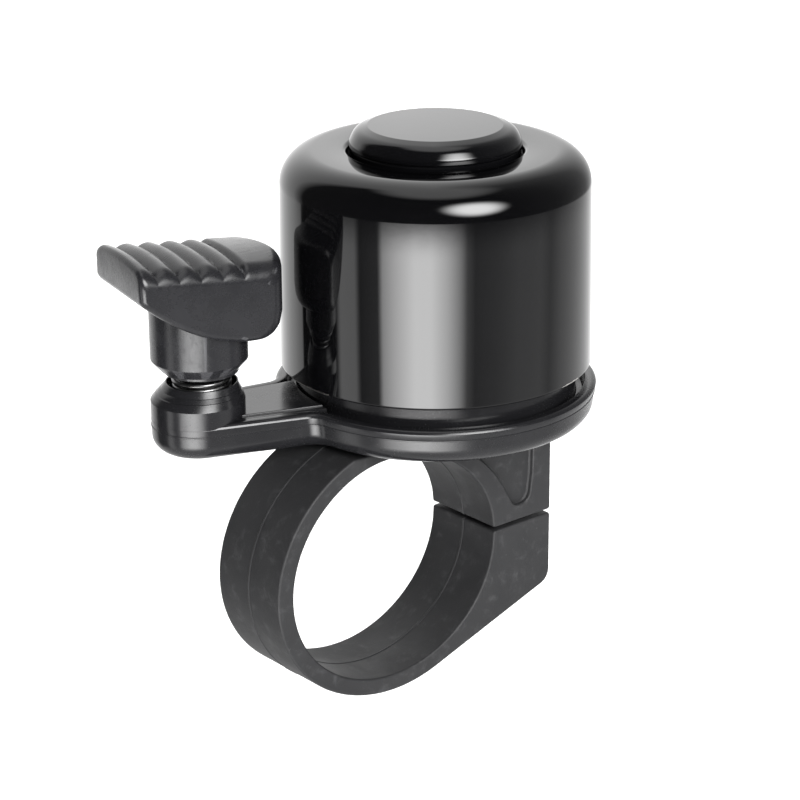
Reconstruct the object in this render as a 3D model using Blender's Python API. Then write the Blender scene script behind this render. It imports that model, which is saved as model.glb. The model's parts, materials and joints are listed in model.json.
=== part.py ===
"""Small bicycle bell with a spring-mounted flick striker and a split handlebar clamp.

The frame's origin is the centre of the clamp's bore. The handlebar runs along Y, the bell's own
axis is vertical at X = BELL_X, and the striker's arm points towards -X, turned by ARM_ANGLE.
Lengths below are in millimetres. MM turns them into metres.
"""

import math

import bmesh
import bpy
from mathutils import Vector

MM = 0.001
GAP = 0.3

# Places in the frame. Heights on the bell and its base are measured from BASE_Z.
BELL_X = 9.85
BASE_Z = 19.45
ARM_ANGLE = math.radians(163.6)
ARM_LENGTH = 26.5

# Clamp: the unstressed ring is OVAL times as high as it is wide
BORE_R = 13.8
OVAL = 0.907
BAND_T = 2.19
BAND_W = 10.3
SEAT_Z = 13.55
EAR_X = 22.33
SPLIT_HALF = 0.42
TANGENT_DEG = 20.3
EAR_CHAMFER = 1.7
SCREW_X = 17.8
SCREW_SEAT_Z = -5.3
NUT_SLOT_Z = 3.4
PANEL_DEPTH = 0.6
PANEL_LEFT_R = 16.3
PANEL_RIGHT_X = 19.1
PANEL_TOP_Z = 12.2
PANEL_END_Z = 4.1

# Fasteners: an M4 clamp screw and an M3 centre bolt
SHANK_R = 1.9
CLEAR_R = 2.2
NUT_FLATS = 7.0
NUT_H = 3.0
PAN_R = 3.5
PAN_H = 2.2
WASHER_H = 0.8
BOLT_SHANK_R = 1.4
BOLT_CLEAR_R = 1.7
BOLT_HEAD_R = 2.9
BOLT_HEAD_H = 1.6
THIN_FLATS = 5.5
THIN_NUT_H = 1.2
THIN_NUT_Z = 11.5
THIN_NUT_PLAY = 0.12
BOLT_END = 11.2
BOLT_HOLE_END = 11.0
FIT = 0.1

# Base
DISH_R = 17.25
DISH_BOTTOM = -5.6
LIP_TOP = -1.55
TRAY_FLOOR = -3.0
PARTING = -2.7
LIP_W = 1.3
FILLET_R = 1.8
ARM_FLARE = math.radians(4.6)
ARM_TOP = -1.4
ARM_LEDGE = 0.6
BOSS_R = 4.97
BOSS_SHIFT = 0.46
BOSS_TOP = 1.85
BOSS_TOP_R = 3.8
BOSS_CONE_Z = 0.05
CRATER_R = 3.6
CRATER_Z = -0.35
SPRING_SEAT_R = 2.0
SPRING_SEAT_Z = 0.45
RING_WALL_IN = 13.9
RING_WALL_R = 15.0
RING_WALL_TOP = 1.0
POST_FOOT_R = 6.6
POST_R = 4.6
POST_TOP = 20.0

# Dome and cap
RIM_LOW = 0.45
DOME_R = 16.6
DOME_TOP_R = 16.29
DOME_T = 0.9
DOME_H = 23.52
SHOULDER_R = 5.7
DIMPLE_R = 9.15
DIMPLE_Z = 22.0
DOME_HOLE_R = 3.65
BUSHING_R = 5.2
CAP_R = 9.0
CAP_WALL_R = 8.85
CAP_FLAT_R = 7.07
CAP_TOP = 26.0
CAP_EDGE = 24.35
CAP_T = 1.1

# Striker
PIVOT_Z = 2.5
LEVER_YAW = math.radians(4.2)
LEVER_W = 12.4
LEVER_OUT = -8.76
LEVER_IN = 8.4
LEVER_BOW = 2.15
LEVER_TOP = 16.75
LEVER_FALL = 0.088
LEVER_CROWN = 0.62
UNDER_LOW = 7.2
UNDER_AT = 3.9
UNDER_BEND = 0.0358
RIBS = 5
RIB_FIRST = -8.1
RIB_PITCH = 2.36
RIB_H = 0.55
HUB_R = 5.06
HUB_SHIFT = -0.16
HUB_TOP = 12.0
HUB_BOTTOM = 4.45
COLLAR_R = 3.9
COLLAR_TOP = 3.3
COLLAR_BOTTOM = 2.95
CUP_R = 3.3
CUP_TOP = 3.45
PIN_R = 1.9
PIN_END = 1.1
SPRING_R = 2.85
SPRING_WIRE = 0.55
SPRING_TURNS = 3
SPRING_BOTTOM = 0.3
COIL_GAP = 0.04

ROUND = 64


def clear_scene():
    for obj in list(bpy.data.objects):
        bpy.data.objects.remove(obj, do_unlink=True)


def material(name, color, metallic, roughness):
    mat = bpy.data.materials.new(name)
    mat.use_nodes = True
    shader = mat.node_tree.nodes["Principled BSDF"]
    shader.inputs["Base Color"].default_value = (*color, 1.0)
    shader.inputs["Metallic"].default_value = metallic
    shader.inputs["Roughness"].default_value = roughness
    return mat


def add_object(name, verts, faces, mat=None, smooth_deg=35.0):
    """A mesh object from points in millimetres, with outward normals and smooth round faces."""
    mesh = bpy.data.meshes.new(name)
    mesh.from_pydata([Vector(v) * MM for v in verts], [], faces)
    shape = bmesh.new()
    shape.from_mesh(mesh)
    bmesh.ops.recalc_face_normals(shape, faces=shape.faces)
    for face in shape.faces:
        face.smooth = True
    shape.to_mesh(mesh)
    shape.free()
    mesh.set_sharp_from_angle(angle=math.radians(smooth_deg))
    if mat:
        mesh.materials.append(mat)
    obj = bpy.data.objects.new(name, mesh)
    bpy.context.scene.collection.objects.link(obj)
    return obj


def revolved(profile, steps=ROUND, centre=(0.0, 0.0)):
    """Points and faces of a closed loop of (radius, height) turned about Z. A radius of 0 is one point."""
    verts = []
    rings = []
    for radius, height in profile:
        if radius == 0:
            rings.append([len(verts)] * steps)
            verts.append((centre[0], centre[1], height))
            continue
        rings.append(list(range(len(verts), len(verts) + steps)))
        for k in range(steps):
            angle = 2 * math.pi * k / steps
            x = centre[0] + radius * math.cos(angle)
            y = centre[1] + radius * math.sin(angle)
            verts.append((x, y, height))
    faces = []
    for i, ring in enumerate(rings):
        above = rings[(i + 1) % len(rings)]
        for k in range(steps):
            corner = []
            for v in (ring[k], ring[(k + 1) % steps], above[(k + 1) % steps], above[k]):
                if v not in corner:
                    corner.append(v)
            if len(corner) > 2:
                faces.append(corner)
    return verts, faces


def lofted(rings):
    """Points and faces of a stack of rings of equally many points, closed by a face at each end."""
    count = len(rings[0])
    verts = [point for ring in rings for point in ring]
    faces = [list(range(count))]
    faces.append(list(range((len(rings) - 1) * count, len(rings) * count)))
    for i in range(len(rings) - 1):
        for k in range(count):
            j = (k + 1) % count
            faces.append([i * count + k, i * count + j, (i + 1) * count + j, (i + 1) * count + k])
    return verts, faces


def prism(outline, low, high, axis="Z"):
    """Points and faces of an outline pushed between two heights along Z or Y."""
    if axis == "Z":
        return lofted([[(x, y, low) for x, y in outline], [(x, y, high) for x, y in outline]])
    return lofted([[(x, low, z) for x, z in outline], [(x, high, z) for x, z in outline]])


def circle(radius, cx=0.0, cy=0.0, steps=ROUND):
    angles = [2 * math.pi * k / steps for k in range(steps)]
    return [(cx + radius * math.cos(a), cy + radius * math.sin(a)) for a in angles]


def arc(cx, cy, radius, start, end, steps):
    angles = [start + (end - start) * k / steps for k in range(steps + 1)]
    return [(cx + radius * math.cos(a), cy + radius * math.sin(a)) for a in angles]


def hexagon(flats, cx, cy, turn=0.0):
    corner = flats / math.sqrt(3)
    angles = [turn + math.pi / 3 * k for k in range(6)]
    return [(cx + corner * math.cos(a), cy + corner * math.sin(a)) for a in angles]


def combine(target, operation, name, shape):
    """A Boolean of the target with a hidden helper made from the given points and faces."""
    helper = add_object(name, *shape)
    helper.hide_render = True
    helper.display_type = "WIRE"
    helper.parent = target
    modifier = target.modifiers.new(name, "BOOLEAN")
    modifier.operation = operation
    modifier.solver = "EXACT"
    modifier.object = helper
    return helper


# ---------------------------------------------------------------- clamp


def band_outline():
    """The clamp seen along the handlebar, with the bore left whole: ring, saddle, ears and tangent."""
    outer = BORE_R + BAND_T
    seat = SEAT_Z / OVAL
    slope = math.radians(TANGENT_DEG)
    flat_left = -math.sqrt(outer**2 - seat**2)
    start = math.atan2(seat, flat_left)
    tangent = -math.pi / 2 + slope
    ring = arc(0, 0, outer, start, tangent + 2 * math.pi, 56)
    touch = ring[-1]
    corner_x = EAR_X - EAR_CHAMFER
    corner_z = touch[1] + (corner_x - touch[0]) * math.tan(slope)
    edge = arc(corner_x, corner_z + EAR_CHAMFER, EAR_CHAMFER, -math.pi / 2 + slope, 0, 6)
    top = [(EAR_X, seat - 0.6), (EAR_X - 0.6, seat)]
    return [(x, z * OVAL) for x, z in ring + edge + top]


def panel_outline():
    """The recessed panel on the upper ear: its left edge follows the ring and its lower end is round."""
    left = [(x, z * OVAL) for x, z in arc(0, 0, PANEL_LEFT_R, math.radians(52), math.radians(22), 8)]
    end = arc(PANEL_RIGHT_X - 1.7, PANEL_END_Z + 1.7, 1.7, math.radians(200), math.radians(360), 8)
    return left + end + [(PANEL_RIGHT_X, PANEL_TOP_Z)]


def make_clamp_band(mat):
    half = BAND_W / 2
    past = BAND_W
    band = add_object("clamp_band", *prism(band_outline(), -half, half, "Y"), mat)
    bore = [(x, z * OVAL) for x, z in circle(BORE_R, 0, 0, 96)]
    combine(band, "DIFFERENCE", "cut_bore", prism(bore, -past, past, "Y"))
    wide = SPLIT_HALF
    split = [(BELL_X, -wide), (EAR_X + 4, -wide), (EAR_X + 4, wide), (BELL_X, wide)]
    combine(band, "DIFFERENCE", "cut_split", prism(split, -past, past, "Y"))
    combine(band, "DIFFERENCE", "cut_panel", prism(panel_outline(), -past, -half + PANEL_DEPTH, "Y"))
    below = -BORE_R - BAND_T
    shaft = prism(circle(CLEAR_R, SCREW_X, 0, 24), below, NUT_SLOT_Z + NUT_H + 3.1)
    combine(band, "DIFFERENCE", "cut_screw_hole", shaft)
    seat = prism(circle(PAN_R + 0.6, SCREW_X, 0, 32), below, SCREW_SEAT_Z)
    combine(band, "DIFFERENCE", "cut_screw_seat", seat)
    wide = NUT_FLATS / 2 + 0.2
    tip = wide / math.cos(math.pi / 6)
    slot = [(SCREW_X - wide, -tip / 2), (SCREW_X, -tip), (SCREW_X + wide, -tip / 2)]
    slot += [(SCREW_X + wide, past), (SCREW_X - wide, past)]
    combine(band, "DIFFERENCE", "cut_nut_slot", prism(slot, NUT_SLOT_Z, NUT_SLOT_Z + NUT_H + 0.5))
    bolt = prism(circle(BOLT_CLEAR_R, BELL_X, 0, 24), BOLT_HOLE_END, SEAT_Z + 2)
    combine(band, "DIFFERENCE", "cut_bolt_hole", bolt)
    nest = hexagon(THIN_FLATS + 0.4, BELL_X, 0, math.pi / 6)
    nest_top = THIN_NUT_Z + THIN_NUT_H + THIN_NUT_PLAY
    combine(band, "DIFFERENCE", "cut_centre_nut", prism(nest, THIN_NUT_Z - THIN_NUT_PLAY, nest_top))
    return band


# ---------------------------------------------------------------- fasteners


def pan_profile(radius, height, shank, length):
    """Half outline of a pan-head screw. The head sits below 0 and the shank rises to length."""
    return [
        (0, -height),
        (radius * 0.7, -height),
        (radius, -height * 0.6),
        (radius, 0),
        (shank, 0),
        (shank, length - 0.5),
        (shank - 0.5, length),
        (0, length),
    ]


def cross_recess(name, target, z, reach, wide):
    """The cross cut into a screw head at the given height."""
    thin = wide / 4
    for index, (across, along) in enumerate(((wide, thin), (thin, wide))):
        x, y = across / 2, along / 2
        box = [(-x, -y), (x, -y), (x, y), (-x, y)]
        combine(target, "DIFFERENCE", f"{name}_{index}", prism(box, z, z + reach))


def place(obj, x, y, z, turn=0.0, flip=False):
    obj.location = (x * MM, y * MM, z * MM)
    obj.rotation_euler = (math.pi if flip else 0.0, 0.0, turn)


def nut(name, mat, flats, height, hole, x, z, turn):
    outline = hexagon(flats, 0, 0, turn)
    small = hexagon(flats - 0.5, 0, 0, turn)
    rings = [[(px, py, 0.0) for px, py in small]]
    rings.append([(px, py, 0.3) for px, py in outline])
    rings.append([(px, py, height - 0.3) for px, py in outline])
    rings.append([(px, py, height) for px, py in small])
    obj = add_object(name, *lofted(rings), mat, 20.0)
    combine(obj, "DIFFERENCE", f"{name}_bore", prism(circle(hole, 0, 0, 24), -1, height + 1))
    place(obj, x, 0, z)
    return obj


def washer(name, mat, inner, outer, height, x, z):
    loop = [
        (inner, 0),
        (outer, 0),
        (outer, height),
        (inner, height),
    ]
    obj = add_object(name, *revolved(loop, 32), mat)
    place(obj, x, 0, z)
    return obj


def make_fasteners(steel, zinc):
    washer_z = SCREW_SEAT_Z - WASHER_H - FIT
    screw = add_object("clamp_screw", *revolved(pan_profile(PAN_R, PAN_H, SHANK_R, 13.6), 24), steel)
    cross_recess("cut_screw_cross", screw, -PAN_H - 1, 2.3, 3.6)
    place(screw, SCREW_X, 0, washer_z - GAP)
    washer("clamp_washer", zinc, CLEAR_R - 0.05, 3.8, WASHER_H, SCREW_X, washer_z)
    nut("clamp_nut", zinc, NUT_FLATS, NUT_H, CLEAR_R - 0.05, SCREW_X, NUT_SLOT_Z + 0.25, math.pi / 6)
    washer_z = BASE_Z + DIMPLE_Z + GAP
    head_z = washer_z + WASHER_H + FIT
    length = head_z - BOLT_END
    profile = pan_profile(BOLT_HEAD_R, BOLT_HEAD_H, BOLT_SHANK_R, length)
    bolt = add_object("centre_bolt", *revolved(profile, 24), steel)
    cross_recess("cut_bolt_cross", bolt, -BOLT_HEAD_H - 1, 1.9, 3.0)
    place(bolt, BELL_X, 0, head_z, 0.0, True)
    washer("bolt_washer", zinc, BOLT_CLEAR_R - 0.05, 4.2, WASHER_H, BELL_X, washer_z)
    nut("centre_nut", zinc, THIN_FLATS, THIN_NUT_H, BOLT_CLEAR_R - 0.05, BELL_X, THIN_NUT_Z, math.pi / 6)


# ---------------------------------------------------------------- base


def base_outline(inset):
    """Plan of dish, flared arm and boss in the arm's own frame, moved inwards by inset."""
    big = DISH_R - inset
    fillet = FILLET_R + inset
    end = ARM_LENGTH + BOSS_SHIFT
    rise = end * math.sin(ARM_FLARE) + BOSS_R + FILLET_R
    reach = math.sqrt((big + fillet) ** 2 - rise**2)
    x = rise * math.sin(ARM_FLARE) + reach * math.cos(ARM_FLARE)
    y = rise * math.cos(ARM_FLARE) - reach * math.sin(ARM_FLARE)
    turn = math.atan2(y, x)
    square = math.pi / 2 + ARM_FLARE
    side = arc(0, 0, big, turn, 2 * math.pi - turn, 48)
    low = arc(x, -y, fillet, math.pi - turn, square, 5)
    boss = arc(end, 0, BOSS_R - inset, ARM_FLARE - math.pi / 2, math.pi / 2 - ARM_FLARE, 16)
    high = arc(x, y, fillet, -square, turn - math.pi, 5)
    return side + low[1:] + boss + high[:-1]


def arm_top_outline(inset):
    """The filled middle of the arm, kept in from the arm's sides and clear of the dish's ring wall."""
    end = ARM_LENGTH + BOSS_SHIFT
    start = RING_WALL_R + 0.3
    tight = BOSS_R - LIP_W - inset
    wide = tight + (end - start) * math.tan(ARM_FLARE)
    turn = math.asin(wide / start)
    return [(end, -tight), (end, tight)] + arc(0, 0, start, turn, -turn, 6)


def make_base(mat):
    steps = (
        (2.2, DISH_BOTTOM),
        (0.9, DISH_BOTTOM + 0.25),
        (0.2, DISH_BOTTOM + 1.0),
        (0.05, PARTING),
        (0.0, PARTING + 0.05),
        (0.0, LIP_TOP - 0.25),
        (0.25, LIP_TOP),
        (LIP_W, LIP_TOP),
        (LIP_W + 0.15, TRAY_FLOOR),
    )
    rings = [[(x, y, z) for x, y in base_outline(inset)] for inset, z in steps]
    base = add_object("base", *lofted(rings), mat)
    sunk = TRAY_FLOOR - 0.8
    wall = [
        (RING_WALL_IN, sunk),
        (RING_WALL_IN, RING_WALL_TOP),
        (RING_WALL_R, RING_WALL_TOP),
        (RING_WALL_R, sunk),
    ]
    combine(base, "UNION", "add_ring_wall", revolved(wall, ROUND))
    filling = prism(arm_top_outline(-FIT), sunk, LIP_TOP - 0.05)
    combine(base, "UNION", "add_arm_filling", filling)
    combine(base, "UNION", "add_arm_top", prism(arm_top_outline(ARM_LEDGE), sunk, ARM_TOP))
    post = [
        (0, sunk),
        (POST_FOOT_R, sunk),
        (POST_FOOT_R, TRAY_FLOOR + 0.4),
        (POST_R + 0.9, TRAY_FLOOR + 1.6),
        (POST_R, POST_TOP - 0.3),
        (POST_R - 0.3, POST_TOP),
        (0, POST_TOP),
    ]
    combine(base, "UNION", "add_post", revolved(post, 32))
    combine(base, "UNION", "add_boss", make_boss())
    crater = [
        (0, BOSS_TOP + 1),
        (CRATER_R, BOSS_TOP + 1),
        (CRATER_R, CRATER_Z),
        (SPRING_SEAT_R, CRATER_Z),
        (SPRING_SEAT_R, SPRING_SEAT_Z - 0.2),
        (SPRING_SEAT_R - 0.2, SPRING_SEAT_Z),
        (0, SPRING_SEAT_Z),
    ]
    combine(base, "DIFFERENCE", "cut_crater", revolved(crater, 48, (ARM_LENGTH, 0.0)))
    bolt = prism(circle(BOLT_CLEAR_R, 0, 0, 24), DISH_BOTTOM - 2, POST_TOP + 2)
    combine(base, "DIFFERENCE", "cut_base_bolt", bolt)
    place(base, BELL_X, 0, BASE_Z, ARM_ANGLE)
    return base


def make_boss():
    """A round boss whose coned top is centred on the striker's pivot, nearer to the bell."""
    rings = []
    steps = (
        (BOSS_R - 0.3, TRAY_FLOOR - 0.8, 1.0),
        (BOSS_R - 0.01, LIP_TOP - 0.5, 1.0),
        (BOSS_R - 0.01, BOSS_CONE_Z, 1.0),
        (BOSS_TOP_R + 0.05, BOSS_TOP - 0.08, 0.0),
        (BOSS_TOP_R - 0.03, BOSS_TOP, 0.0),
    )
    for radius, z, share in steps:
        rings.append([(x, y, z) for x, y in circle(radius, ARM_LENGTH + BOSS_SHIFT * share, 0, 48)])
    return lofted(rings)


# ---------------------------------------------------------------- dome, bushing, cap


def make_dome(mat):
    centre_r = DOME_TOP_R - SHOULDER_R
    spring_z = DOME_H - SHOULDER_R
    inner = SHOULDER_R - DOME_T
    low = DIMPLE_Z - DOME_T
    outside = [(DOME_R - 0.12, RIM_LOW), (DOME_R, RIM_LOW + 0.12)]
    outside += arc(centre_r, spring_z, SHOULDER_R, 0, math.pi / 2, 9)
    outside += [(DIMPLE_R + 0.45, DOME_H - 0.08), (DIMPLE_R + 0.1, DOME_H - 0.4)]
    outside += [(DIMPLE_R, DIMPLE_Z + 0.3), (DIMPLE_R - 0.3, DIMPLE_Z), (DOME_HOLE_R, DIMPLE_Z)]
    inside = [(DOME_HOLE_R, low), (DIMPLE_R + 0.2, low), (DIMPLE_R + 0.8, low + 0.3)]
    inside += [(DIMPLE_R + 1.0, DOME_H - DOME_T - 0.1)]
    inside += [p for p in arc(centre_r, spring_z, inner, math.pi / 2, 0, 7) if p[0] > DIMPLE_R + 1.2]
    inside += [(DOME_R - DOME_T, RIM_LOW + 0.12), (DOME_R - DOME_T + 0.12, RIM_LOW)]
    dome = add_object("dome", *revolved(outside + inside, 72), mat)
    place(dome, BELL_X, 0, BASE_Z)
    return dome


def make_bushing(mat):
    low = POST_TOP + 0.15
    top = DIMPLE_Z - DOME_T - 0.15
    sleeve = DOME_HOLE_R - 0.25
    loop = [
        (BOLT_CLEAR_R, low),
        (BUSHING_R, low),
        (BUSHING_R, top),
        (sleeve, top),
        (sleeve, DIMPLE_Z + FIT),
        (BOLT_CLEAR_R, DIMPLE_Z + FIT),
    ]
    bushing = add_object("dome_bushing", *revolved(loop, 32), mat)
    place(bushing, BELL_X, 0, BASE_Z)
    return bushing


def make_cap(mat):
    low = DIMPLE_Z + GAP
    ceiling = CAP_TOP - 0.95
    inner = CAP_WALL_R - CAP_T
    swell = arc(CAP_FLAT_R, CAP_EDGE, 1.0, math.radians(80), 0, 5)
    wide, high = CAP_R - CAP_FLAT_R, CAP_TOP - CAP_EDGE
    loop = [(0, CAP_TOP), (CAP_FLAT_R, CAP_TOP)]
    loop += [(CAP_FLAT_R + (x - CAP_FLAT_R) * wide, CAP_EDGE + (z - CAP_EDGE) * high) for x, z in swell]
    loop += [(CAP_R, CAP_EDGE - 0.4), (CAP_WALL_R, CAP_EDGE - 0.5), (CAP_WALL_R, low), (inner, low)]
    loop += [(inner, ceiling - 0.4), (inner - 0.5, ceiling), (0, ceiling)]
    cap = add_object("cap", *revolved(loop, ROUND), mat)
    place(cap, BELL_X, 0, BASE_Z)
    return cap


# ---------------------------------------------------------------- striker


def rounding(past, radius):
    """How far a rounded edge falls back at a distance past the start of its rounding."""
    return radius - math.sqrt(max(radius**2 - past**2, 0.0)) if past > 0 else 0.0


def lever_section(across):
    """The lever's side outline (along it, height) at a distance across it, the same count each time."""
    half = LEVER_W / 2
    beside = half - abs(across)
    bow = (across / half) ** 2
    top_drop = LEVER_CROWN * bow + rounding(1.6 - beside, 1.6)
    under_rise = rounding(0.8 - beside, 0.8)
    fade = max(0.0, 1.0 - rounding(1.6 - beside, 1.6) / 1.2)
    end_in = LEVER_IN - LEVER_BOW * bow - rounding(0.8 - beside, 0.8)
    end_out = LEVER_OUT + rounding(0.8 - beside, 0.8) * 0.8
    top = []
    count = 40
    for k in range(count + 1):
        u = end_out + (end_in - end_out) * k / count
        z = LEVER_TOP - LEVER_FALL * (u - LEVER_OUT) - top_drop
        phase = (u - RIB_FIRST) / RIB_PITCH
        if phase < RIBS - 0.5:
            wave = abs(math.cos(math.pi * phase)) ** 0.8
            z += RIB_H * (wave - 1.0) * fade
        else:
            z -= RIB_H * fade * max(0.0, 1.0 - (phase - RIBS + 0.5) * RIB_PITCH / 0.7) ** 2
        z -= rounding(0.5 - (u - end_out), 0.5) + rounding(1.0 - (end_in - u), 1.0)
        top.append((u, z))
    under = []
    for k in range(13):
        u = end_in - (end_in - end_out) * k / 12
        z = UNDER_LOW + UNDER_BEND * max(UNDER_AT - u, 0.0) ** 2 + under_rise
        z += rounding(2.5 - (end_in - u), 2.5)
        under.append((u, z))
    return top + under


def make_striker(mat):
    """Lever, hub and pin in one moulding, with the lever turned by LEVER_YAW on its hub."""
    half = LEVER_W / 2
    places = [0.0, 0.15, 0.5, 1.0, 1.6, 3.6, half]
    stations = [-half + p for p in places] + [half - p for p in reversed(places[:-1])]
    c, s = math.cos(LEVER_YAW), math.sin(LEVER_YAW)
    rings = [
        [(u * c - w * s, u * s + w * c, z - PIVOT_Z) for u, z in lever_section(w)] for w in stations
    ]
    striker = add_object("striker", *lofted(rings), mat, 50.0)
    hub = [
        (0, HUB_TOP),
        (HUB_R, HUB_TOP),
        (HUB_R, HUB_BOTTOM),
        (COLLAR_R + 0.22, COLLAR_TOP),
        (COLLAR_R - 0.2, COLLAR_TOP),
        (COLLAR_R - 0.2, CUP_TOP + 0.1),
        (0, CUP_TOP + 0.1),
    ]
    shape = revolved([(r, z - PIVOT_Z) for r, z in hub], 48, (HUB_SHIFT, 0.0))
    combine(striker, "UNION", "add_hub", shape)
    pin = [
        (0, HUB_BOTTOM + 1),
        (COLLAR_R, HUB_BOTTOM + 1),
        (COLLAR_R, COLLAR_BOTTOM),
        (CUP_R, COLLAR_BOTTOM),
        (CUP_R, CUP_TOP),
        (PIN_R, CUP_TOP),
        (PIN_R, PIN_END + 0.3),
        (PIN_R - 0.3, PIN_END),
        (0, PIN_END),
    ]
    combine(striker, "UNION", "add_pin", revolved([(r, z - PIVOT_Z) for r, z in pin], 32))
    return striker


def make_spring(mat):
    """A close coil of round wire with both ends cut square, swept along its helix."""
    per_turn = 24
    sides = 6
    wire = SPRING_WIRE / 2
    rise = SPRING_WIRE + COIL_GAP
    total = SPRING_TURNS * per_turn
    rings = []
    for k in range(total + 1):
        angle = 2 * math.pi * k / per_turn
        z = SPRING_BOTTOM + wire + rise * k / per_turn - PIVOT_Z
        out = Vector((math.cos(angle), math.sin(angle), 0))
        ring = []
        for s in range(sides):
            a = 2 * math.pi * s / sides
            point = out * (SPRING_R + wire * math.cos(a)) + Vector((0, 0, z + wire * math.sin(a)))
            ring.append(tuple(point))
        rings.append(ring)
    return add_object("striker_spring", *lofted(rings), mat)


def make_striker_group(black, steel):
    """Striker and spring, each with its origin on the axis that the striker tilts about."""
    arm = Vector((math.cos(ARM_ANGLE), math.sin(ARM_ANGLE), 0)) * ARM_LENGTH
    for obj in (make_striker(black), make_spring(steel)):
        place(obj, BELL_X + arm.x, arm.y, BASE_Z + PIVOT_Z, ARM_ANGLE + math.pi)


def main():
    clear_scene()
    steel = material("fastener_steel", (0.55, 0.55, 0.57), 1.0, 0.35)
    zinc = material("zinc_plate", (0.68, 0.69, 0.70), 1.0, 0.40)
    spring = material("spring_steel", (0.70, 0.70, 0.70), 1.0, 0.25)
    make_clamp_band(material("clamp_nylon", (0.030, 0.030, 0.032), 0.0, 0.55))
    make_fasteners(steel, zinc)
    make_base(material("base_plastic", (0.018, 0.018, 0.020), 0.0, 0.30))
    make_dome(material("dome_gloss", (0.010, 0.010, 0.011), 0.0, 0.06))
    make_bushing(material("bushing_nylon", (0.75, 0.74, 0.70), 0.0, 0.50))
    make_cap(material("cap_gloss", (0.012, 0.012, 0.013), 0.0, 0.10))
    make_striker_group(material("striker_plastic", (0.022, 0.022, 0.024), 0.0, 0.40), spring)


main()
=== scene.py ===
"""Looks of the small bicycle bell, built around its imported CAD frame.

Shapes are worked out in millimetres about the bell's own axis and the gong's rim (the bell frame),
then moved into the row frame in metres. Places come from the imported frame.
"""

import json
import math

import bmesh
import bpy
from mathutils import Matrix, Vector


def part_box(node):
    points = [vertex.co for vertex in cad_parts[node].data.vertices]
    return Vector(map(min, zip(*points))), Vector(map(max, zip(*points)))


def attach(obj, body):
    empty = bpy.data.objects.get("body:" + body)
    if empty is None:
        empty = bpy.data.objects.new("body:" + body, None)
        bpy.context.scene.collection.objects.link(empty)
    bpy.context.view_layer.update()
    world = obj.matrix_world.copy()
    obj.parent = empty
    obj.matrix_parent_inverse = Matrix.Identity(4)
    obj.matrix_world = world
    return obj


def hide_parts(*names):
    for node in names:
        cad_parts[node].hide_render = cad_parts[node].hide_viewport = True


MM = 0.001

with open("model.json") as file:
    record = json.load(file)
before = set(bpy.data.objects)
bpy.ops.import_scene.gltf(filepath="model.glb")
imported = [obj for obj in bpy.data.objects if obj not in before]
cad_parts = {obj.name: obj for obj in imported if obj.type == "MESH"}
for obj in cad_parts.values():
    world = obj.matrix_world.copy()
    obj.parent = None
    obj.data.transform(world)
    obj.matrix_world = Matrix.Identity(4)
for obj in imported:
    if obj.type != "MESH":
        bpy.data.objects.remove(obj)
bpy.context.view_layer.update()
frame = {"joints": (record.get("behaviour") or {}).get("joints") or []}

# ---------------------------------------------------------------- places read from the frame

JOINTS = {joint["name"]: joint for joint in frame["joints"]}
SWIVEL = Vector(JOINTS["head_swivel"]["pos_m"]) / MM
PIVOT = Vector(JOINTS["striker_tilt"]["pos_m"]) / MM
BELL_X = SWIVEL.x
RIM_Z = SWIVEL.z
ARM = Vector((PIVOT.x - BELL_X, PIVOT.y))
ARM_LENGTH = ARM.length
ARM_ANGLE = math.atan2(ARM.y, ARM.x)
SCREW_X = JOINTS["screw_turn"]["pos_m"][0] / MM

# ---------------------------------------------------------------- sizes, in millimetres

# The clamp: a ring squashed from above, split between two ears. Its heights are from the bore's centre.
BORE_R = 13.8
OVAL = 0.907
BORE_PULL = 0.5
BAND_T = 2.17
BAND_HALF = 5.13
BAND_EDGE = 0.24
SEAT_Z = 13.55
EAR_X = 22.3
EAR_SLOPE = math.radians(20.3)
EAR_ROUND = 1.7
SPLIT_HIGH = 0.42
SPLIT_LOW = 0.10
SPLIT_ROUND = 0.36
SEAM = 0.06
SCREW_HOLE_R = 2.2
SCREW_HOLE_TOP = 9.5
SCREW_SEAT_R = 4.1
SCREW_SEAT_Z = -5.3
NUT_SLOT_HALF = 3.7
NUT_SLOT_LOW = 3.4
NUT_SLOT_HIGH = 6.9
BOLT_HOLE_R = 1.7
BOLT_HOLE_LOW = 11.0
THIN_NUT_FLATS = 5.9
THIN_NUT_LOW = 11.38
THIN_NUT_HIGH = 12.82

# The base moulding. From here on heights are from the point where the head swivels.
DISH_R = 17.22
DISH_BOTTOM = -5.58
DISH_CURL = 2.2
DISH_CURL_H = 1.9
LIP_TOP = -1.55
LIP_W = 1.3
TRAY_FLOOR = -3.0
ROOT = TRAY_FLOOR - 0.8
PARTING = -2.7
PARTING_LINE = 0.06
FILLET_R = 1.8
ARM_FLARE = math.radians(4.6)
ARM_TOP = -1.38
BOSS_R = 4.95
BOSS_SHIFT = 0.46
BOSS_TOP = 1.83
BOSS_TOP_R = 3.78
BOSS_CONE_Z = 0.05
CRATER_R = 3.6
CRATER_Z = -0.35
SPRING_SEAT_R = 2.0
SPRING_SEAT_Z = 0.45
RING_WALL_R = 15.0
RING_WALL_T = 1.1
RING_WALL_TOP = 1.0
POST_R = 4.6
POST_FOOT_R = 6.6
POST_TOP = 20.0

# The gong, its bushing and the cap.
DOME_LOW = 0.45
DOME_R = 16.6
DOME_TOP_R = 16.29
DOME_T = 0.9
DOME_H = 23.52
SHOULDER_R = 5.7
DIMPLE_R = 9.15
DIMPLE_Z = 22.0
DOME_HOLE_R = 3.65
BUSHING_R = 5.2
CAP_R = 9.0
CAP_WALL_R = 8.85
CAP_WALL_T = 1.1
CAP_FLAT_R = 7.07
CAP_TOP = 25.99
CAP_ROOF_T = 0.95
CAP_EDGE = 24.35

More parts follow.
